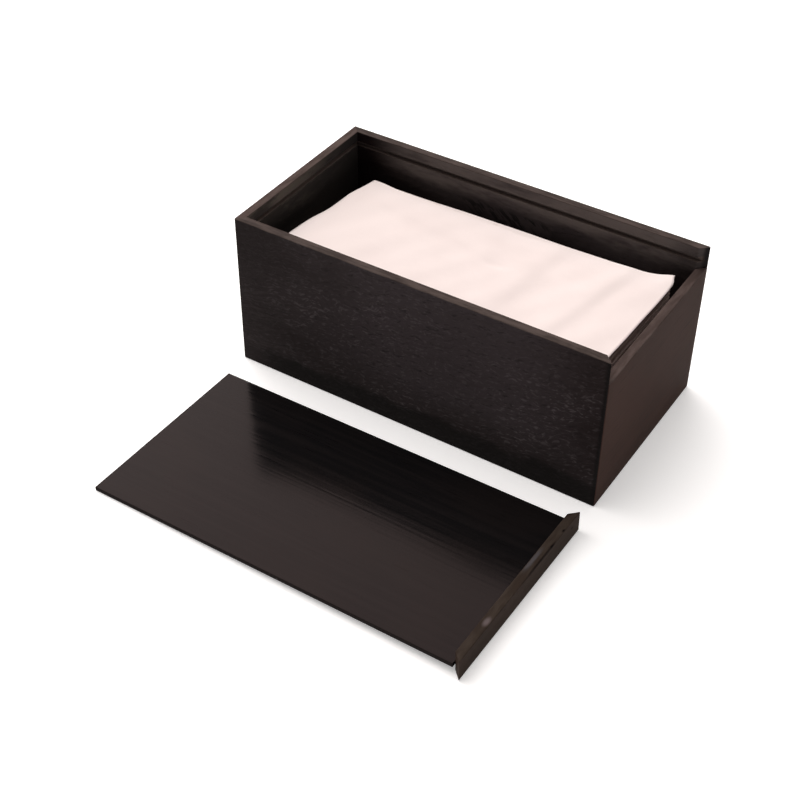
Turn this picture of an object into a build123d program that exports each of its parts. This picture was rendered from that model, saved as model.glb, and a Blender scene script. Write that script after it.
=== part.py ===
from build123d import *
import os
from math import atan2, cos, degrees, radians, sin

# Wooden tissue box with a slide-out refill panel, stood upside down for filling: the panel side is up,
# the dispensing slot is in the board underneath. The panel lies on the same table in front of the box.
# Millimetres, +Z up. Origin: centre of the box's underside, on the table. X runs along the long walls,
# and the low end wall, where the panel slides out, is at +X.

# ---- driving dimensions -------------------------------------------------------------------------
box_l = 240.0          # outside length
box_w = 124.0          # outside width
box_h = 101.5          # outside height
wall_t = 5.2           # thickness of the four mitred boards and of the end bar
low_h = 87.4           # height of the low end wall
corner_r = 0.9         # easing of the four upright corners
edge_r = 0.5           # easing of the long edges

board_t = 5.0          # slotted board, flush with the underside
rebate_d = 2.6         # depth of the rebate that it sits in
board_gap = 0.05       # glue line around the slotted board
slot_l = 150.0         # dispensing slot, end to end
slot_w = 26.0
slot_ease = 1.2        # rounding of the slot's lip

panel_t = 2.8          # sliding panel
panel_half_w = 59.55   # the inside half width plus its bite in the groove
panel_over_bar = 4.4   # underside of the panel above the underside of the bar
panel_len = 232.3      # from the bar's inner face to the leading edge
tongue_d = 2.0         # tongue of the panel in the bar
tongue_half_w = 54.0
bar_h = 13.8
bar_play = 0.3         # bar above the low wall when the panel is shut
mitre_play = 0.15      # bar's mitres off the walls' mitres

groove_d = 3.0         # depth of the panel groove
groove_play = 0.2      # clearance above and below the panel
groove_z0 = low_h + bar_play + panel_over_bar - groove_play
groove_z1 = groove_z0 + panel_t + 2 * groove_play

# where the panel lies on the table: midpoint of the bar's lower inner edge, its turn about +Z,
# and its tilt, which puts the leading edge down on the table
lid_x, lid_y = 115.4, -144.3
lid_turn = -0.65
lid_tilt = degrees(atan2(panel_over_bar, panel_len))

# refill: a stack of folded tissues lying on the slotted board, its top a little lower at the left
stack_x0, stack_x1 = -96.0, 108.4
stack_y0, stack_y1 = -55.4, 45.6
stack_z0 = board_t + 0.3
stack_top_left, stack_top_right = 79.6, 83.4
top_sheet_t = 1.3

a, b = box_l / 2, box_w / 2
ai, bi = a - wall_t, b - wall_t
over = 20.0

os.makedirs("parts", exist_ok=True)


def wedge(side):
    """Plan outline that cuts one board out of the hollow block along the 45 degree mitres."""
    d = b + over
    if side == "front":
        return [(-a - over, -d), (a + over, -d), (a - b, 0), (-a + b, 0)]
    if side == "back":
        return [(-a - over, d), (a + over, d), (a - b, 0), (-a + b, 0)]
    if side == "left":
        return [(-a - over, -d), (-a + b, 0), (-a - over, d)]
    return [(a + over, -d), (a - b, 0), (a + over, d)]


# ---- front wall ---------------------------------------------------------------------------------
with BuildPart() as front_wall:
    with BuildSketch(Plane.XY):
        Rectangle(box_l, box_w)
    extrude(amount=box_h)
    fillet(front_wall.edges().filter_by(Axis.Z), corner_r)
    fillet(front_wall.faces().sort_by(Axis.Z)[-1].edges(), edge_r)
    fillet(front_wall.faces().sort_by(Axis.Z)[0].edges(), edge_r)
    with BuildSketch(Plane.XY):
        Rectangle(2 * ai, 2 * bi)
    extrude(amount=box_h, mode=Mode.SUBTRACT)
    # rebate for the slotted board
    with BuildSketch(Plane.XY):
        Rectangle(box_l - 2 * rebate_d, box_w - 2 * rebate_d)
    extrude(amount=board_t, mode=Mode.SUBTRACT)
    # groove that the sliding panel runs in, open at the low end
    with BuildSketch(Plane.XY.offset(groove_z0)):
        Rectangle(2 * (ai + groove_d), 2 * (bi + groove_d))
    extrude(amount=groove_z1 - groove_z0, mode=Mode.SUBTRACT)
    with BuildSketch(Plane.XY.offset(-1)):
        with BuildLine():
            Polyline(*wedge("front"), close=True)
        make_face()
    extrude(amount=box_h + 2, mode=Mode.INTERSECT)
front_wall.part.label = "front_wall"

# ---- back wall ----------------------------------------------------------------------------------
with BuildPart() as back_wall:
    add(front_wall.part)
    mirror(about=Plane.XZ, mode=Mode.REPLACE)
back_wall.part.label = "back_wall"

# ---- left end wall: full height, takes the panel's leading edge -----------------------------------
with BuildPart() as left_end_wall:
    with BuildSketch(Plane.XY):
        Rectangle(box_l, box_w)
    extrude(amount=box_h)
    fillet(left_end_wall.edges().filter_by(Axis.Z), corner_r)
    fillet(left_end_wall.faces().sort_by(Axis.Z)[-1].edges(), edge_r)
    fillet(left_end_wall.faces().sort_by(Axis.Z)[0].edges(), edge_r)
    with BuildSketch(Plane.XY):
        Rectangle(2 * ai, 2 * bi)
    extrude(amount=box_h, mode=Mode.SUBTRACT)
    with BuildSketch(Plane.XY):
        Rectangle(box_l - 2 * rebate_d, box_w - 2 * rebate_d)
    extrude(amount=board_t, mode=Mode.SUBTRACT)
    with BuildSketch(Plane.XY.offset(groove_z0)):
        Rectangle(2 * (ai + groove_d), 2 * (bi + groove_d))
    extrude(amount=groove_z1 - groove_z0, mode=Mode.SUBTRACT)
    with BuildSketch(Plane.XY.offset(-1)):
        with BuildLine():
            Polyline(*wedge("left"), close=True)
        make_face()
    extrude(amount=box_h + 2, mode=Mode.INTERSECT)
left_end_wall.part.label = "left_end_wall"

# ---- right end wall: low, so that the panel passes over it ----------------------------------------
with BuildPart() as right_end_wall:
    with BuildSketch(Plane.XY):
        Rectangle(box_l, box_w)
    extrude(amount=low_h)
    fillet(right_end_wall.edges().filter_by(Axis.Z), corner_r)
    fillet(right_end_wall.faces().sort_by(Axis.Z)[-1].edges().sort_by(Axis.X)[-1], edge_r)
    fillet(right_end_wall.faces().sort_by(Axis.Z)[0].edges().sort_by(Axis.X)[-1], edge_r)
    with BuildSketch(Plane.XY):
        Rectangle(2 * ai, 2 * bi)
    extrude(amount=low_h, mode=Mode.SUBTRACT)
    with BuildSketch(Plane.XY):
        Rectangle(box_l - 2 * rebate_d, box_w - 2 * rebate_d)
    extrude(amount=board_t, mode=Mode.SUBTRACT)
    with BuildSketch(Plane.XY.offset(-1)):
        with BuildLine():
            Polyline(*wedge("right"), close=True)
        make_face()
    extrude(amount=low_h + 2, mode=Mode.INTERSECT)
right_end_wall.part.label = "right_end_wall"

# ---- slotted board: set in the rebate, flush underneath, with the dispensing slot ------------------
with BuildPart() as slotted_board:
    with BuildSketch(Plane.XY):
        Rectangle(box_l - 2 * rebate_d - 2 * board_gap, box_w - 2 * rebate_d - 2 * board_gap)
        SlotOverall(slot_l, slot_w, mode=Mode.SUBTRACT)
    extrude(amount=board_t)
    slot_lips = slotted_board.edges().filter_by_position(Axis.X, -slot_l / 2 - 0.1, slot_l / 2 + 0.1)
    slot_lips = slot_lips.filter_by_position(Axis.Y, -slot_w / 2 - 0.1, slot_w / 2 + 0.1)
    slot_rims = slot_lips.filter_by_position(Axis.Z, -0.01, 0.01) + slot_lips.filter_by_position(
        Axis.Z, board_t - 0.01, board_t + 0.01)
    fillet(slot_rims, slot_ease)
slotted_board.part.label = "slotted_board"

# ---- the lid's own plane: X from the leading edge to the bar, Z square to the panel ----------------
turn, tilt = radians(lid_turn), radians(lid_tilt)
lid_plane = Plane(
    origin=(lid_x, lid_y, 0),
    x_dir=(cos(tilt) * cos(turn), cos(tilt) * sin(turn), sin(tilt)),
    z_dir=(-sin(tilt) * cos(turn), -sin(tilt) * sin(turn), cos(tilt)),
)

# ---- sliding panel ------------------------------------------------------------------------------
with BuildPart() as sliding_panel:
    with BuildSketch(lid_plane.offset(panel_over_bar)):
        with Locations((-panel_len / 2, 0)):
            Rectangle(panel_len, 2 * panel_half_w)
        with Locations((tongue_d / 2, 0)):
            Rectangle(tongue_d, 2 * tongue_half_w)
    extrude(amount=panel_t)
    # small easing of the three free edges
    free_edges = sliding_panel.edges().filter_by(GeomType.LINE)
    free_edges = free_edges.filter_by(lambda e: e.length > 2 * panel_half_w - 1)
    fillet(free_edges, 0.3)
sliding_panel.part.label = "sliding_panel"

# ---- end bar: closes the gap over the low wall, its ends mitred like the boards --------------------
bar_half = b - mitre_play
with BuildPart() as end_bar:
    with BuildSketch(lid_plane):
        with Locations((wall_t / 2, 0)):
            Rectangle(wall_t, 2 * b + 10)
    extrude(amount=bar_h)
    fillet(end_bar.edges().filter_by(lambda e: e.length > 2 * b), edge_r)
    with BuildSketch(lid_plane.offset(-1)):
        with BuildLine():
            Polyline(
                (-1, -(bar_half - wall_t - 1)), (wall_t + 1, -(bar_half + 1)),
                (wall_t + 1, bar_half + 1), (-1, bar_half - wall_t - 1), close=True)
        make_face()
    extrude(amount=bar_h + 2, mode=Mode.INTERSECT)
    # housing for the panel's tongue
    with BuildSketch(lid_plane.offset(panel_over_bar)):
        with Locations((tongue_d / 2, 0)):
            Rectangle(tongue_d, 2 * tongue_half_w)
    extrude(amount=panel_t, mode=Mode.SUBTRACT)
end_bar.part.label = "end_bar"

# ---- refill -------------------------------------------------------------------------------------
with BuildPart() as tissue_stack:
    with BuildSketch(Plane.XZ.offset(-stack_y1)):
        with BuildLine():
            Polyline(
                (stack_x0, stack_z0), (stack_x1, stack_z0),
                (stack_x1, stack_top_right), (stack_x0, stack_top_left), close=True)
        make_face()
    extrude(amount=stack_y1 - stack_y0)
    fillet(tissue_stack.edges().filter_by(Axis.Z), 2.0)
tissue_stack.part.label = "tissue_stack"

with BuildPart() as top_tissue:
    with BuildSketch(Plane.XZ.offset(-stack_y1)):
        with BuildLine():
            Polyline(
                (stack_x0, stack_top_left), (stack_x1, stack_top_right),
                (stack_x1, stack_top_right + top_sheet_t), (stack_x0, stack_top_left + top_sheet_t),
                close=True)
        make_face()
    extrude(amount=stack_y1 - stack_y0)
    fillet(top_tissue.edges().filter_by(Axis.Z), 0.6)
top_tissue.part.label = "top_tissue"

# ---- export -------------------------------------------------------------------------------------
for piece in (front_wall, back_wall, left_end_wall, right_end_wall, slotted_board,
              sliding_panel, end_bar, tissue_stack, top_tissue):
    export_step(piece.part, f"parts/{piece.part.label}.step")
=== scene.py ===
import math

import bpy
import numpy as np
from mathutils import Matrix, Vector


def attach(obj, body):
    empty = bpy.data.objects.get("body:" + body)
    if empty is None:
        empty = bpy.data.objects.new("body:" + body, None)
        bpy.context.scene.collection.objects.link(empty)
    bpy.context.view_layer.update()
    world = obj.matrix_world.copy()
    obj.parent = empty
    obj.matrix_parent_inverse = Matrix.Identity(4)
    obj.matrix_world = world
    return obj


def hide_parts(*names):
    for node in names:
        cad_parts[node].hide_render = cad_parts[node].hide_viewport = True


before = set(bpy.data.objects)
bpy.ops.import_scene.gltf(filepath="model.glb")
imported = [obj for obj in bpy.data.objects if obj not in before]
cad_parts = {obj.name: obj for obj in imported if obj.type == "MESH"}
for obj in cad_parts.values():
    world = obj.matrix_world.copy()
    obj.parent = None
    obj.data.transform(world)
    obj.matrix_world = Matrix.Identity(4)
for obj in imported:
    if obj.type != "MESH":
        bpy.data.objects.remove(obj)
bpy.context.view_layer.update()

scene = bpy.context.scene
rng = np.random.default_rng(7)

# ------------------------------------------------------------------ camera
AZ, EL, ROLL = 0.56240543, 0.70768438, 0.01063741
FOCAL_PX = 1505.163


def camera():
    ca, sa, ce, se = math.cos(AZ), math.sin(AZ), math.cos(EL), math.sin(EL)
    fwd = Vector((-sa * ce, ca * ce, -se))
    right0 = Vector((ca, sa, 0.0))
    up0 = right0.cross(fwd)
    cr, sr = math.cos(ROLL), math.sin(ROLL)
    right = right0 * cr + up0 * sr
    up = -right0 * sr + up0 * cr
    data = bpy.data.cameras.new("camera")
    data.sensor_fit = "HORIZONTAL"
    data.sensor_width = 36.0
    data.lens = FOCAL_PX * 36.0 / 800.0
    data.clip_start, data.clip_end = 0.05, 60.0
    cam = bpy.data.objects.new("camera", data)
    scene.collection.objects.link(cam)
    m = Matrix((right, up, -fwd)).transposed().to_4x4()
    m.translation = Vector((0.344856, -0.619599, 0.582100))
    cam.matrix_world = m
    scene.camera = cam


camera()
scene.view_settings.view_transform = "Standard"
scene.view_settings.look = "None"
scene.view_settings.exposure = 0.0
scene.view_settings.gamma = 1.0


# ------------------------------------------------------------------ node helpers
class Tree:
    """A few short words for building a node tree."""

    def __init__(self, tree):
        self.t = tree
        self.x = 0

    def node(self, kind, **props):
        n = self.t.nodes.new(kind)
        self.x += 40
        n.location = (self.x, -(self.x % 400))
        for k, v in props.items():
            setattr(n, k, v)
        return n

    def put(self, socket, value):
        if isinstance(value, bpy.types.NodeSocket):
            self.t.links.new(value, socket)
        elif value is not None:
            socket.default_value = value

    def math(self, op, a, b=None, c=None, clamp=False):
        n = self.node("ShaderNodeMath", operation=op, use_clamp=clamp)
        for s, v in zip(n.inputs, (a, b, c)):
            self.put(s, v)
        return n.outputs[0]

    def vmath(self, op, a, b=None, scale=None):
        n = self.node("ShaderNodeVectorMath", operation=op)
        self.put(n.inputs[0], a)
        if b is not None:
            self.put(n.inputs[1], b)
        if scale is not None:
            self.put(n.inputs[3], scale)
        return n.outputs["Value"] if op in ("DOT_PRODUCT", "LENGTH", "DISTANCE") else n.outputs[0]

    def step(self, value, lo, hi, out_lo=0.0, out_hi=1.0):
        n = self.node("ShaderNodeMapRange", interpolation_type="SMOOTHSTEP", clamp=True)
        for i, v in enumerate((value, lo, hi, out_lo, out_hi)):
            self.put(n.inputs[i], v)
        return n.outputs[0]

    def noise(self, vector, scale=1.0, detail=2.0, rough=0.5, distort=0.0, lac=2.0):
        n = self.node("ShaderNodeTexNoise")
        self.put(n.inputs["Vector"], vector)
        n.inputs["Scale"].default_value = scale
        n.inputs["Detail"].default_value = detail
        n.inputs["Roughness"].default_value = rough
        n.inputs["Lacunarity"].default_value = lac
        n.inputs["Distortion"].default_value = distort
        return n.outputs[0]

    def mix(self, factor, a, b, blend="MIX"):
        n = self.node("ShaderNodeMix", data_type="RGBA", blend_type=blend)
        self.put(n.inputs[0], factor)
        self.put(n.inputs[6], a)
        self.put(n.inputs[7], b)
        return n.outputs[2]

    def xyz(self, vector):
        n = self.node("ShaderNodeSeparateXYZ")
        self.put(n.inputs[0], vector)
        return n.outputs[0], n.outputs[1], n.outputs[2]

    def combine(self, x, y, z):
        n = self.node("ShaderNodeCombineXYZ")
        for s, v in zip(n.inputs, (x, y, z)):
            self.put(s, v)
        return n.outputs[0]

    def stretch(self, vector, scale, offset=(0.0, 0.0, 0.0)):
        n = self.node("ShaderNodeMapping", vector_type="POINT")
        self.put(n.inputs["Vector"], vector)
        n.inputs["Location"].default_value = offset
        n.inputs["Scale"].default_value = scale
        return n.outputs[0]

    def bump(self, height, strength, distance, normal=None):
        n = self.node("ShaderNodeBump")
        n.inputs["Strength"].default_value = strength
        n.inputs["Distance"].default_value = distance
        self.put(n.inputs["Height"], height)
        if normal is not None:
            self.put(n.inputs["Normal"], normal)
        return n.outputs[0]


def material(name):
    m = bpy.data.materials.new(name)
    m.use_nodes = True
    t = m.node_tree
    t.nodes.clear()
    k = Tree(t)
    out = k.node("ShaderNodeOutputMaterial")
    p = k.node("ShaderNodeBsdfPrincipled")
    t.links.new(p.outputs[0], out.inputs[0])
    return m, k, p


def rgb(r, g, b):
    return (r, g, b, 1.0)


LID_ORIGIN = Vector((0.1154, -0.1443, 0.0))
LID_TURN = math.radians(-0.65)
LID_TILT = math.atan(4.4 / 232.3)


def place(k, lid):
    """Coordinates of the surface in metres: the box's own frame, or the lid's, with its origin at the foot of the bar's inner face."""
    pos = k.node("ShaderNodeTexCoord").outputs["Object"]
    if not lid:
        return pos
    n = k.node("ShaderNodeMapping", vector_type="TEXTURE")
    k.put(n.inputs["Vector"], pos)
    n.inputs["Location"].default_value = LID_ORIGIN
    n.inputs["Rotation"].default_value = (0.0, -LID_TILT, LID_TURN)
    return n.outputs[0]


# ------------------------------------------------------------------ wood
def brushed_wood(name, seed, inside=False):
    """Open-grained board stained near-black: short flecks of grain along the board, patches, a painted sheen right of
    the middle, paler top face, painted shade along the bottom, at the upright end and towards the upper left; inside,
    painted light high up and painted shade low down.
    """
    m, k, p = material(name)
    pos = place(k, False)
    x, y, z = k.xyz(pos)
    off = (seed * 1.7, seed * 0.9, seed * 2.3)
    # a slow waver, so that the grain isn't ruled
    waver = k.noise(k.stretch(pos, (45, 45, 60), off), detail=2)
    wz = k.math("MULTIPLY_ADD", k.math("SUBTRACT", waver, 0.5), 0.011, z)
    wz = k.math("MULTIPLY_ADD", x, -0.16, wz)
    gpos = k.combine(x, y, wz)
    fleck = k.noise(k.stretch(gpos, (285, 285, 740), off), detail=2.2, rough=0.55, distort=0.6)
    fleck2 = k.noise(k.stretch(gpos, (200, 200, 640), (off[2], off[0], off[1])), detail=2, rough=0.55, distort=0.4)
    streak = k.noise(k.stretch(gpos, (10, 10, 520), off), detail=3, rough=0.6)
    patch = k.noise(k.stretch(pos, (16, 16, 26), (off[1], off[2], off[0])), detail=2, rough=0.55)
    patch_m = k.step(patch, 0.40, 0.62)
    light = k.math("MULTIPLY", k.step(fleck, 0.53, 0.68), k.math("MULTIPLY_ADD", patch_m, 0.60, 0.40))
    dark = k.step(fleck2, 0.43, 0.28)
    plain = k.step(k.math("MULTIPLY_ADD", patch, 0.03, x), -0.100, -0.020, 0.22, 1.0)
    if inside:
        plain = k.math("MULTIPLY", plain, k.step(y, 0.0600, 0.0604, 0.5, 1.0))
    light = k.math("MULTIPLY", light, k.math("MULTIPLY", plain, k.step(z, 0.100, 0.055, 0.45, 1.0)))

    # painted sheen: the colour is a little paler over a broad stretch right of the middle
    painted_sheen = k.math("MULTIPLY", k.step(k.math("MULTIPLY_ADD", patch, 0.05, x), -0.075, 0.020), k.step(x, 0.125, 0.060))
    painted_sheen = k.math("MULTIPLY", painted_sheen, k.step(z, 0.012, 0.040))
    base = k.mix(patch_m, rgb(0.0100, 0.0062, 0.0062), rgb(0.0145, 0.0100, 0.0104))
    base = k.mix(k.math("MULTIPLY", painted_sheen, 0.85), base, rgb(0.0385, 0.0305, 0.0328))
    base = k.mix(k.step(streak, 0.45, 0.70, 0.0, 0.4), base, rgb(0.0250, 0.0190, 0.0190))
    base = k.mix(k.math("MULTIPLY", light, 0.52), base, rgb(0.092, 0.078, 0.081))
    base = k.mix(k.math("MULTIPLY", dark, 0.50), base, rgb(0.0035, 0.0027, 0.0028))
    # painted shade: darker towards the upper left
    painted_corner_shade = k.math("MULTIPLY", k.step(x, -0.065, -0.105), k.step(z, 0.055, 0.085))
    base = k.mix(k.math("MULTIPLY", painted_corner_shade, 0.65), base, rgb(0.0052, 0.0024, 0.0024))
    base = k.vmath("SCALE", base, scale=0.82)
    if inside:
        # inside: cloudy paler patches high up and away from its ends are painted light, and the darker colour low down
        # and towards its ends is painted shade; the groove is paler
        painted_light_and_shade_noise = k.noise(k.stretch(pos, (24, 24, 85), (3.1, 0.4, 6.6)), detail=3.5, rough=0.62)
        inner = k.step(y, 0.0604, 0.0600)
        ends = k.math("MULTIPLY", k.step(x, -0.108, -0.072), k.step(x, 0.122, 0.088, 0.35, 1.0))
        high = k.step(k.math("MULTIPLY_ADD", painted_light_and_shade_noise, 0.020, z), 0.092, 0.100, 0.22, 1.0)
        painted_light_patches = k.math("MULTIPLY", k.math("MULTIPLY", inner, ends), k.math("MULTIPLY", high, k.step(painted_light_and_shade_noise, 0.30, 0.58, 0.35, 1.0)))
        base = k.mix(k.math("MULTIPLY", painted_light_patches, 0.95), base, rgb(0.094, 0.079, 0.073))
        # painted shade: darker low down
        shade = k.step(k.math("MULTIPLY_ADD", painted_light_and_shade_noise, 0.012, z), 0.0865, 0.0765)
        base = k.mix(k.math("MULTIPLY", k.math("MULTIPLY", shade, inner), 0.65), base, rgb(0.0090, 0.0066, 0.0066))
        # painted shade: dark strokes low down in the middle
        strokes = k.noise(k.combine(k.math("MULTIPLY", k.math("MULTIPLY_ADD", z, 1.0, x), 230), 0.4, k.math("MULTIPLY", z, 120)), detail=2.5, rough=0.55)
        low = k.math("MULTIPLY", k.step(z, 0.0835, 0.0795), k.math("MULTIPLY", k.step(x, -0.044, -0.030), k.step(x, 0.034, 0.010)))
        low = k.math("MULTIPLY", k.math("MULTIPLY", low, inner), k.step(strokes, 0.47, 0.56))
        base = k.mix(k.math("MULTIPLY", low, 0.80), base, rgb(0.0085, 0.0075, 0.0080))
        cut = k.math("MULTIPLY", k.math("MULTIPLY", k.step(y, 0.0569, 0.0572), inner), k.math("MULTIPLY", k.step(z, 0.0915, 0.0919), k.step(z, 0.0955, 0.0951)))
        base = k.mix(cut, base, rgb(0.085, 0.066, 0.058))
    # foot of the wall: painted shade, dark and uneven
    foot_n = k.noise(k.stretch(pos, (38, 38, 60), off), detail=3)
    foot_z = k.math("MULTIPLY_ADD", k.math("SUBTRACT", foot_n, 0.5), -0.016, z)
    foot = k.math("MULTIPLY", k.step(foot_z, 0.0180, 0.0110), k.step(x, -0.114, -0.088, 0.35, 1.0))
    base = k.mix(k.math("MULTIPLY", foot, 0.85), base, rgb(0.0034, 0.0032, 0.0030))
    # painted shade: the upright end towards the low wall is darker too
    painted_upright_shade = k.step(k.math("MULTIPLY_ADD", k.math("SUBTRACT", foot_n, 0.5), 0.002, x), 0.1164, 0.1184)
    base = k.mix(k.math("MULTIPLY", painted_upright_shade, 0.92), base, rgb(0.0028, 0.0022, 0.0022))
    # the top face is paler
    rim_n = k.noise(k.stretch(pos, (60, 260, 260), off), detail=3, rough=0.6)
    rim_z = k.math("MULTIPLY_ADD", k.math("SUBTRACT", rim_n, 0.5), 0.0006, z)
    rim = k.step(rim_z, 0.1009, 0.1013)
    rim_col = k.mix(k.step(rim_n, 0.35, 0.65), rgb(0.036, 0.0275, 0.0245), rgb(0.068, 0.0530, 0.0475))
    base = k.mix(rim, base, rim_col)
    k.put(p.inputs["Base Color"], base)

    r = k.math("MULTIPLY_ADD", fleck, -0.22, 0.74)
    r = k.math("MULTIPLY_ADD", foot, 0.18, r)
    k.put(p.inputs["Roughness"], k.math("MULTIPLY_ADD", rim, 0.04, r))
    p.inputs["Specular IOR Level"].default_value = 0.080
    p.inputs["Specular Tint"].default_value = rgb(1.0, 0.86, 0.83)
    h = k.math("MULTIPLY_ADD", fleck2, 0.35, fleck)
    h = k.math("MULTIPLY_ADD", streak, 0.5, h)
    k.put(p.inputs["Normal"], k.bump(h, 0.55, 0.00035))
    return m


def smooth_wood(name, seed, along="y", top=0.1009, lid=False, inside=False, pale_rim=1.0):
    """Fine-grained board, stained dark brown: faint long grain, soft cloudy colour, paler top face."""
    m, k, p = material(name)
    pos = place(k, lid)
    x, y, z = k.xyz(pos)
    off = (seed * 1.3, seed * 2.1, seed * 0.7)
    s = (420, 9, 420) if along == "y" else (9, 420, 420)
    sf = (900, 40, 900) if along == "y" else (40, 900, 900)
    grain = k.noise(k.stretch(pos, s, off), detail=4, rough=0.6, distort=0.3)
    pores = k.noise(k.stretch(pos, sf, off), detail=2, rough=0.5)
    cloud = k.noise(k.stretch(pos, (22, 22, 22), off), detail=3, rough=0.5)
    if inside:
        low_col, high_col, grain_col = rgb(0.0265, 0.0165, 0.0140), rgb(0.0320, 0.0195, 0.0165), rgb(0.040, 0.027, 0.023)
    elif lid:
        low_col, high_col, grain_col = rgb(0.0320, 0.0212, 0.0160), rgb(0.0375, 0.0242, 0.0184), rgb(0.047, 0.033, 0.026)
    else:
        low_col, high_col, grain_col = rgb(0.0370, 0.0195, 0.0150), rgb(0.0435, 0.0222, 0.0170), rgb(0.055, 0.031, 0.025)
    base = k.mix(k.step(cloud, 0.35, 0.65), low_col, high_col)
    base = k.mix(k.step(grain, 0.42, 0.68, 0.0, 0.45), base, grain_col)
    base = k.mix(k.step(pores, 0.38, 0.26, 0.0, 0.6), base, rgb(0.016, 0.010, 0.0085))
    base = k.vmath("SCALE", base, scale=0.80 if lid else 0.86)
    if inside:
        # inner face: cooler; paler near the rim and towards the front in painted light, dark towards the back in
        # painted shade
        inner = k.step(x, -0.1184, -0.1180)
        painted_light_noise = k.noise(k.stretch(pos, (60, 22, 75), (2.2, 5.1, 0.7)), detail=4, rough=0.65)
        near = k.math("MULTIPLY", k.step(y, 0.056, -0.030), k.step(k.math("MULTIPLY_ADD", painted_light_noise, 0.02, z), 0.082, 0.108, 0.15, 1.0))
        near = k.math("MULTIPLY", near, k.step(painted_light_noise, 0.42, 0.57, 0.22, 1.0))
        inside_col = k.mix(near, rgb(0.0270, 0.0240, 0.0230), rgb(0.100, 0.086, 0.073))
        base = k.mix(inner, base, inside_col)
        # painted light: the groove is coloured pale to lift its shade
        cut = k.math("MULTIPLY", k.math("MULTIPLY", k.step(x, -0.1149, -0.1152), inner), k.math("MULTIPLY", k.step(z, 0.0915, 0.0919), k.step(z, 0.0955, 0.0951)))
        base = k.mix(cut, base, rgb(0.200, 0.165, 0.145))
    rim_n = k.noise(k.stretch(pos, (260, 60, 260), off), detail=3, rough=0.6)
    rim_z = k.math("MULTIPLY_ADD", k.math("SUBTRACT", rim_n, 0.5), 0.0006, z)
    rim = k.step(rim_z, top, top + 0.0004)
    rim_low, rim_high = ((0.027, 0.0203, 0.0160), (0.040, 0.0312, 0.0250)) if lid else ((0.042, 0.0310, 0.0280), (0.068, 0.0515, 0.0470))
    rim_col = k.mix(k.step(rim_n, 0.35, 0.65), rgb(*(c * pale_rim for c in rim_low)), rgb(*(c * pale_rim for c in rim_high)))
    base = k.mix(rim, base, rim_col)
    r = k.math("MULTIPLY_ADD", grain, 0.16, 0.50)
    if lid:
        # a shinier stretch of wear along the top of the bar, its bluish paleness a painted highlight, a small pale
        # spot, a few dark pores
        painted_sheen = k.math("MULTIPLY", k.step(y, 0.004, 0.012), k.step(y, 0.030, 0.020))
        painted_sheen = k.math("MULTIPLY", painted_sheen, k.math("MULTIPLY", k.step(x, 0.0002, 0.0008), k.step(x, 0.0031, 0.0021)))
        painted_sheen = k.math("MULTIPLY", painted_sheen, k.step(z, 0.0125, 0.0135))
        base = k.mix(k.math("MULTIPLY", painted_sheen, k.step(rim_n, 0.30, 0.60, 0.35, 1.0)), base, rgb(0.060, 0.058, 0.062))
        for px, py, pz, size, colour, amount in (
            (0.0030, -0.0323, 0.0138, 0.0023, rgb(0.108, 0.089, 0.090), 0.85),
            (0.0045, 0.0445, 0.0138, 0.0009, rgb(0.002, 0.0015, 0.0015), 0.95),
            (0.0052, 0.0532, 0.0088, 0.0009, rgb(0.002, 0.0015, 0.0015), 0.95),
            (0.0050, 0.0310, 0.0136, 0.0010, rgb(0.002, 0.0015, 0.0015), 0.95),
            (0.0052, -0.0180, 0.0105, 0.0006, rgb(0.003, 0.002, 0.002), 0.8),
        ):
            d = k.vmath("DISTANCE", k.stretch(pos, (1, 0.48, 1)), (px, py * 0.48, pz))
            base = k.mix(k.step(d, size, size * 0.2, 0.0, amount), base, colour)
        # painted shadow: a dark line along the outer top edge of the bar
        painted_edge_shadow = k.math("MULTIPLY", k.step(y, 0.004, 0.009), k.step(y, 0.037, 0.032))
        painted_edge_shadow = k.math("MULTIPLY", painted_edge_shadow, k.math("MULTIPLY", k.step(x, 0.0041, 0.0046), k.step(z, 0.0122, 0.0130)))
        base = k.mix(k.math("MULTIPLY", painted_edge_shadow, 0.6), base, rgb(0.003, 0.002, 0.002))
        r = k.math("MULTIPLY_ADD", painted_sheen, -0.12, r)
    k.put(p.inputs["Base Color"], base)
    k.put(p.inputs["Roughness"], r)
    p.inputs["Specular IOR Level"].default_value = 0.018
    p.inputs["Specular Tint"].default_value = rgb(1.0, 0.86, 0.83)
    h = k.math("MULTIPLY_ADD", pores, 0.4, grain)
    k.put(p.inputs["Normal"], k.bump(h, 0.25, 0.0002))
    return m


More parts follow.
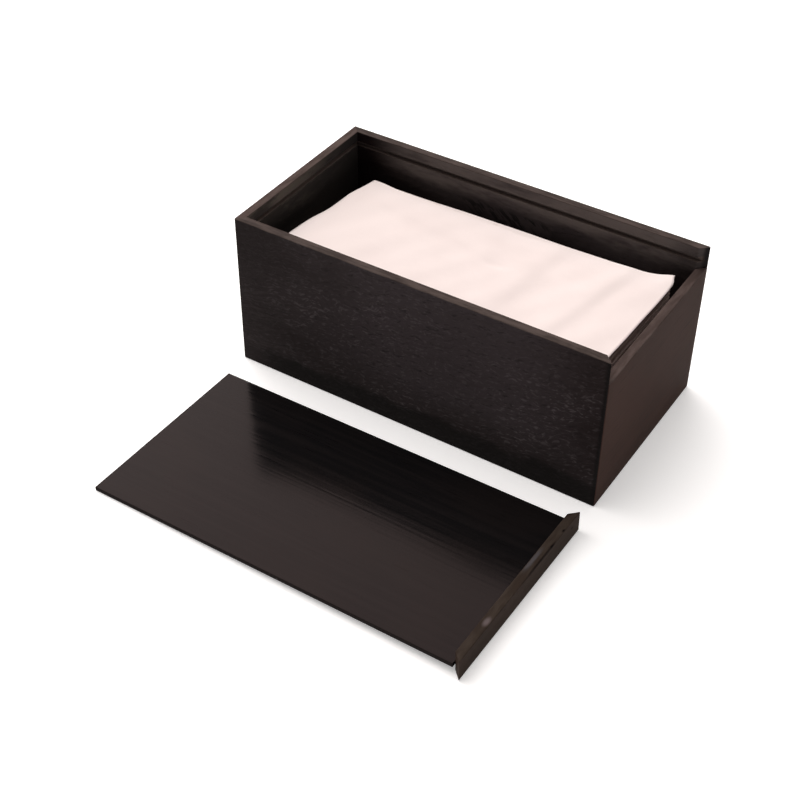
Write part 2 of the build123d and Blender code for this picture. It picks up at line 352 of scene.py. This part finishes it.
def satin_wood(name):
    """Thin lacquered panel: soft mirror with faint streaks along its length."""
    m, k, p = material(name)
    pos = place(k, True)
    x, y, z = k.xyz(pos)
    long_n = k.noise(k.stretch(pos, (7, 260, 260)), detail=4, rough=0.6, distort=0.2)
    fine = k.noise(k.stretch(pos, (45, 800, 800), (2, 5, 1)), detail=2, rough=0.5)
    cloud = k.noise(k.stretch(pos, (14, 20, 20), (4, 1, 3)), detail=2, rough=0.5)
    base = k.mix(k.step(long_n, 0.40, 0.66), rgb(0.0042, 0.0042, 0.0046), rgb(0.0066, 0.0060, 0.0063))
    base = k.mix(k.step(cloud, 0.40, 0.65, 0.0, 0.5), base, rgb(0.0084, 0.0068, 0.0066))
    base = k.mix(k.step(fine, 0.36, 0.26, 0.0, 0.6), base, rgb(0.0020, 0.0016, 0.0016))
    # the sawn edges are dull and dark
    rimmed = k.math("MAXIMUM", k.step(k.math("ABSOLUTE", y), 0.05925, 0.05945), k.step(x, -0.2318, -0.2321))
    base = k.mix(rimmed, base, rgb(0.0060, 0.0045, 0.0042))
    k.put(p.inputs["Base Color"], base)
    r = k.math("MULTIPLY_ADD", long_n, 0.12, 0.075)
    r = k.math("MULTIPLY_ADD", cloud, 0.05, r)
    k.put(p.inputs["Roughness"], k.math("MULTIPLY_ADD", rimmed, 0.6, r))
    p.inputs["Specular IOR Level"].default_value = 0.086
    p.inputs["Specular Tint"].default_value = rgb(1.0, 0.73, 0.70)
    h = k.math("MULTIPLY_ADD", fine, 0.12, long_n)
    # the panel is a little warped, so the mirror image of the box sags in the middle
    sag = k.math("MULTIPLY", k.step(x, -0.190, -0.112), k.step(x, -0.010, -0.090))
    lean = k.combine(0.0, k.math("MULTIPLY", sag, -0.022), 0.0)
    warped = k.vmath("NORMALIZE", k.vmath("ADD", k.node("ShaderNodeNewGeometry").outputs["Normal"], lean))
    k.put(p.inputs["Normal"], k.bump(h, 0.38, 0.0002, warped))
    return m


def tissue_paper(name, lines=0.0):
    """Soft two-ply tissue: faint crepe lines, cloudy thickness, painted light towards the left and back edges; lines
    adds the edges of the sheets in the stack's sides, with painted shade in the gaps between them and a painted brown
    shade on the side beside the low wall.
    """
    m, k, p = material(name)
    pos = place(k, False)
    x, y, z = k.xyz(pos)
    crepe = k.noise(k.stretch(pos, (900, 260, 900)), detail=2, rough=0.55)
    fibre = k.noise(pos, scale=1500, detail=2, rough=0.6)
    cloud = k.noise(pos, scale=45, detail=3, rough=0.5)
    base = k.mix(k.step(cloud, 0.35, 0.65), rgb(0.756, 0.694, 0.677), rgb(0.780, 0.718, 0.701))
    # painted light: paler towards the left, and paler still along the far left and back edges
    base = k.mix(k.step(x, -0.040, -0.096), base, rgb(0.815, 0.754, 0.735))
    base = k.mix(k.math("MAXIMUM", k.step(x, -0.088, -0.100), k.step(y, 0.024, 0.042, 0.0, 0.7)), base, rgb(0.850, 0.798, 0.782))
    base = k.mix(k.step(fibre, 0.40, 0.25, 0.0, 0.35), base, rgb(0.72, 0.645, 0.615))
    h = k.math("MULTIPLY_ADD", fibre, 0.4, crepe)
    if lines:
        # the edges of the sheets, with painted shade in the gaps between them
        ply = k.noise(k.stretch(pos, (12, 12, 2600)), detail=2, rough=0.6)
        base = k.mix(k.step(ply, 0.50, 0.32, 0.0, lines), base, rgb(0.50, 0.42, 0.39))
        h = k.math("MULTIPLY_ADD", ply, 1.5, h)
        # painted shade: the side beside the low wall is tinted the brown of the wood's shade
        base = k.mix(k.step(x, 0.1030, 0.1042, 0.0, 0.8), base, rgb(0.56, 0.42, 0.385))
    k.put(p.inputs["Base Color"], base)
    p.inputs["Roughness"].default_value = 0.95
    p.inputs["Specular IOR Level"].default_value = 0.15
    k.put(p.inputs["Normal"], k.bump(h, 0.25, 0.00015))
    return m


def clothe(node, m):
    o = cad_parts[node]
    o.data.materials.clear()
    o.data.materials.append(m)


clothe("front_wall", brushed_wood("wood_front", 1))
clothe("back_wall", brushed_wood("wood_back", 4, inside=True))
clothe("left_end_wall", smooth_wood("wood_left_end", 2, inside=True, pale_rim=1.35))
clothe("right_end_wall", smooth_wood("wood_right_end", 5, top=0.0869, pale_rim=1.2))
clothe("slotted_board", smooth_wood("wood_slotted", 8, along="x", top=1.0))
clothe("sliding_panel", satin_wood("wood_panel"))
clothe("end_bar", smooth_wood("wood_bar", 6, top=0.0134, lid=True))


# ------------------------------------------------------------------ tissues
def ease(t):
    t = np.clip(t, 0.0, 1.0)
    return t * t * (3 - 2 * t)


def base_z(x):
    """The stack's top, which rises towards the low wall (mm)."""
    return 79.6 + 3.8 * (x + 96.0) / 204.4


def mesh_object(name, verts, faces, smooth=True):
    me = bpy.data.meshes.new(name)
    me.from_pydata([tuple(v) for v in verts], [], faces)
    me.update()
    if smooth:
        me.polygons.foreach_set("use_smooth", [True] * len(me.polygons))
    o = bpy.data.objects.new(name, me)
    scene.collection.objects.link(o)
    return o


def stack():
    """The folded tissues as one closed body, with a crease between each two and its folded edges rounded."""
    x0, x1, y0, y1, z0 = -95.6, 105.9, -55.0, 45.0, 5.35
    n, nx, ny = 34, 46, 24
    r = 1.6  # corner radius in plan
    ring = []  # (x, y, nx, ny, side) around the outline
    for i in range(nx):
        ring.append((x0 + r + (x1 - x0 - 2 * r) * i / (nx - 1), y0, 0, -1, 0))
    for i in range(1, ny + 1):
        ring.append((x1, y0 + r + (y1 - y0 - 2 * r) * (i - 1) / (ny - 1), 1, 0, 1))
    for i in range(nx):
        ring.append((x1 - r - (x1 - x0 - 2 * r) * i / (nx - 1), y1, 0, 1, 0))
    for i in range(1, ny + 1):
        ring.append((x0, y1 - r - (y1 - y0 - 2 * r) * (i - 1) / (ny - 1), -1, 0, 1))
    ring = np.array(ring)
    m = len(ring)
    u = np.arange(m) / m * 2 * np.pi
    levels = []
    profile = [(0.04, -0.85), (0.16, -0.22), (0.38, 0.0), (0.62, 0.0), (0.84, -0.22), (0.96, -0.85)]
    for s in range(n):
        shift = rng.normal(0, 0.22, 4)  # each tissue sits a little off the next
        ph = rng.uniform(0, 2 * np.pi, 4)
        wave = 0.20 * np.sin(3 * u + ph[0]) + 0.16 * np.sin(7 * u + ph[1]) + 0.10 * np.sin(13 * u + ph[2])
        droop = 0.22 * np.sin(2 * u + ph[3])
        for f, inset in profile:
            t = (s + f) / n
            out = (wave + inset) - 0.35
            px = ring[:, 0] + ring[:, 2] * (out + np.where(ring[:, 2] > 0, shift[0], shift[1]))
            px = px + np.where(ring[:, 2] > 0, 1.7 * (ring[:, 1] - y0) / (y1 - y0), 0.0)
            py = ring[:, 1] + ring[:, 3] * (out + np.where(ring[:, 3] > 0, shift[2], shift[3]))
            top = base_z(px) - 0.5
            pz = z0 + (top - z0) * t + droop * math.sin(math.pi * t)
            levels.append(np.stack([px, py, pz], 1))
    v = np.concatenate(levels) / 1000.0
    faces = []
    for a in range(len(levels) - 1):
        for i in range(m):
            j = (i + 1) % m
            faces.append((a * m + i, a * m + j, (a + 1) * m + j, (a + 1) * m + i))
    faces.append(tuple(range(m - 1, -1, -1)))
    last = (len(levels) - 1) * m
    faces.append(tuple(range(last, last + m)))
    o = mesh_object("tissue_pile", v, faces)
    o.data.materials.append(tissue_paper("tissue_pile_paper", lines=0.55))
    return o


def top_sheet():
    """The top tissue, folded in two with its fold at the back: the lower leaf lies on the pile, the upper leaf on it."""
    # the visible leaf's left edge, x by y, and its back edge, y by x, in mm
    ly = np.array([-55.2, -34, -13, 1, 23, 43.5])
    lx = np.array([-102.6, -102.2, -101.2, -99.2, -97.6, -93.6])
    bx = np.array([-93.6, -70, -35, 2, 12, 32, 67, 86, 97, 106.4])
    by = np.array([43.0, 40.6, 39.9, 39.6, 38.2, 40.0, 41.2, 41.4, 43.2, 45.2])
    bz = np.array([0.4, -0.9, -1.4, -1.4, -1.9, -1.2, -0.7, -0.2, 0.1, 0.3])

    nu, nv = 150, 78
    us = np.linspace(0, 1, nu)
    vs = np.linspace(0, 1, nv)

    def smooth_interp(t, xs, ys):
        """Interpolation through the points with rounded turns."""
        fine = np.linspace(xs[0], xs[-1], 400)
        val = np.interp(fine, xs, ys)
        kernel = np.hanning(31)
        kernel /= kernel.sum()
        padded = np.concatenate([np.full(15, 2 * val[0]) - val[15:0:-1], val, np.full(15, 2 * val[-1]) - val[-2:-17:-1]])
        return np.interp(t, fine, np.convolve(padded, kernel, "valid"))

    def surface(u, v, leaf):
        """A point of the upper leaf (leaf 1) or of the lower one (leaf 0), u along the box, v from front to back."""
        xr = 107.9 + 1.9 * v - 2.3 * ease((v - 0.93) / 0.07)
        yb0 = smooth_interp(-93.6 + 200.0 * u, bx, by)
        y = -55.2 + (yb0 + 55.2) * v
        xl = smooth_interp(y, ly, lx)
        if leaf == 0:
            xl = xl + 1.6
            xr = xr - 0.12
        x = xl + (xr - xl) * u
        z = base_z(x) + 0.25
        # the sheet's own soft shape
        close = 1.0 - 0.80 * ease((x - 88.0) / 19.0)  # the leaves lie closer together towards the low wall
        z = z + 0.55 + 0.9 * leaf * close
        # the fold stands up at its far right end
        z = z + (0.25 + 2.0 * leaf) * np.exp(-(((x - 108.0) / 9.0) ** 2)) * ease((v - 0.86) / 0.14)
        z = z + smooth_interp(-93.6 + 200.0 * u, bx, bz) * ease((v - 0.55) / 0.45) * (0.4 + 0.6 * leaf)
        z = z + 2.3 * ease((-y + 8.0) / 46.0) * ease((-x - 40.0) / 55.0) * (0.35 + 0.65 * leaf)
        if leaf:
            # soft cross creases towards the low wall
            c1 = x - (43.0 + (y - 40.0) * 0.085)
            c2 = x - (86.0 + (y - 39.0) * 0.185)
            w = 0.75 + 0.25 * np.sin(y * 0.07 + 1.0)
            z = z + 0.80 * w * (-np.tanh(c1 / 5.5)) * np.exp(-((c1 / 17.0) ** 2))
            z = z + 1.00 * w * (-np.tanh(c2 / 4.5)) * np.exp(-((c2 / 14.0) ** 2))
            # long soft ridge near the back edge, and a small dent
            c3 = y - (21.5 - (x + 65.0) * 0.178)
            z = z + 0.70 * np.tanh(c3 / 5.0) * np.exp(-((c3 / 16.0) ** 2)) * ease((x + 95.0) / 25.0) * ease((30.0 - x) / 30.0)
            z = z - 0.7 * np.exp(-(((x - 16.0) / 7.0) ** 2) - ((y - 3.5) / 3.0) ** 2)
            # far left corner lies lower, near left is puffed
            z = z - 0.6 * np.exp(-(((x + 86.0) / 12.0) ** 2) - ((y - 34.0) / 9.0) ** 2)
        # gentle unevenness everywhere
        z = z + 0.16 * np.sin(x * 0.11 + y * 0.05 + 0.6) * np.sin(y * 0.13 - x * 0.03) + 0.09 * np.sin(x * 0.29 - y * 0.17 + 2.0)
        # the free edges bend down a little
        d = np.minimum(np.minimum((x - xl), (xr - x)), (y + 55.2))
        d_right = xr - x
        z = z - (0.75 if leaf else 0.25) * np.exp(-d / 2.2) * (1.0 - 0.8 * np.exp(-d_right / 4.0))
        return x, y, z

    rows = []
    # lower leaf from the front to the back
    for v in vs:
        x, y, z = surface(us, np.full(nu, v), 0)
        rows.append(np.stack([x, y, z], 1))
    # the fold at the back: half a turn from the lower to the upper leaf
    lo = rows[-1]
    x1, y1, z1 = surface(us, np.full(nu, 1.0), 1)
    hi = np.stack([x1, y1, z1], 1)
    for a in np.linspace(0, math.pi, 9)[1:-1]:
        t = (1 - math.cos(a)) / 2
        p = lo * (1 - t) + hi * t
        p[:, 1] += 0.75 * math.sin(a)
        rows.append(p)
    for v in vs[::-1]:
        x, y, z = surface(us, np.full(nu, v), 1)
        rows.append(np.stack([x, y, z], 1))
    v = np.concatenate(rows) / 1000.0
    faces = []
    for a in range(len(rows) - 1):
        for i in range(nu - 1):
            b = a * nu + i
            faces.append((b, b + nu, b + nu + 1, b + 1))
    o = mesh_object("top_tissue_sheet", v, faces)
    thick = o.modifiers.new("thickness", "SOLIDIFY")
    thick.thickness = 0.00014
    thick.offset = 0.0
    o.data.materials.append(tissue_paper("top_tissue_paper"))
    return o


pile = stack()
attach(pile, "refill")
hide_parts("tissue_stack")

sheet = top_sheet()
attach(sheet, "refill")
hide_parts("top_tissue")


# ------------------------------------------------------------------ floor and light
def stage():
    me = bpy.data.meshes.new("floor")
    n = 96
    ring = [(30 * math.cos(2 * math.pi * i / n), 30 * math.sin(2 * math.pi * i / n), -0.0002) for i in range(n)]
    me.from_pydata(ring, [], [tuple(range(n))])
    o = bpy.data.objects.new("floor", me)
    scene.collection.objects.link(o)
    m, k, p = material("floor_white")
    pos = k.node("ShaderNodeTexCoord").outputs["Object"]
    n1 = k.noise(pos, scale=3.0, detail=2)
    k.put(p.inputs["Base Color"], k.mix(n1, rgb(0.90, 0.94, 0.95), rgb(0.91, 0.95, 0.96)))
    p.inputs["Roughness"].default_value = 0.9
    p.inputs["Specular IOR Level"].default_value = 0.1
    # the table is lit from below as well, so that shadows stay pale
    p.inputs["Emission Color"].default_value = rgb(1.0, 0.99, 0.98)
    p.inputs["Emission Strength"].default_value = 0.32
    me.materials.append(m)


stage()


def light():
    """A wide soft sky, brightest overhead and to the left, dim high on the front and right, pale near the horizon."""
    w = bpy.data.worlds.new("studio")
    scene.world = w
    w.use_nodes = True
    t = w.node_tree
    t.nodes.clear()
    k = Tree(t)
    out = k.node("ShaderNodeOutputWorld")
    bg = k.node("ShaderNodeBackground")
    d = k.node("ShaderNodeTexCoord").outputs["Generated"]
    level = 0.10
    for towards, power, strength in (((-0.75, 0.35, 0.56), 5.0, 2.5), ((-0.38, 0.10, 0.92), 4.0, 2.3)):
        way = Vector(towards).normalized()
        lobe = k.math("POWER", k.math("MAXIMUM", k.vmath("DOT_PRODUCT", d, tuple(way)), 0.0), power)
        level = k.math("MULTIPLY_ADD", lobe, strength, level)
    _, _, z = k.xyz(d)
    band = k.step(z, 0.30, 0.10)
    warm = k.vmath("SCALE", (1.05, 0.96, 0.93), scale=level)
    colour = k.mix(band, warm, rgb(1.0, 1.0, 1.0))
    k.put(bg.inputs["Color"], colour)
    bg.inputs["Strength"].default_value = 1.0
    t.links.new(bg.outputs[0], out.inputs[0])
    w.cycles.sampling_method = "MANUAL"
    w.cycles.sample_map_resolution = 512


light()
